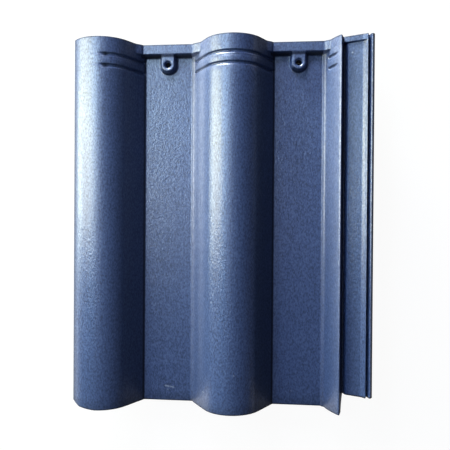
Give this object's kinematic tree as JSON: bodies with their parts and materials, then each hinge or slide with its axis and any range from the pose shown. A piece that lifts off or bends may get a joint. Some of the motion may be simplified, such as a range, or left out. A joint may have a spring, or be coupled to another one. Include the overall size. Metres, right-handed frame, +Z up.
{
  "type": "concrete roof tile",
  "caption": "Interlocking concrete roof tile with rounded rolls, flat pans, head bars with nail bosses and a side channel, pressed as a single piece.",
  "frame": {"origin": "centre of the tile's outline seen from above, on the level plane that its nibs and nose ribs rest on", "axes": "+Y towards the head (the upslope end), +X towards the interlocking channel side, +Z up out of the weathering face"},
  "size_m": [0.338, 0.42, 0.0675],
  "materials": {
    "painted_concrete": "semi-gloss navy coating over fine-grained concrete"
  },
  "bodies": {
    "root": {"roof_tile": "painted_concrete"}
  },
  "joints": []
}
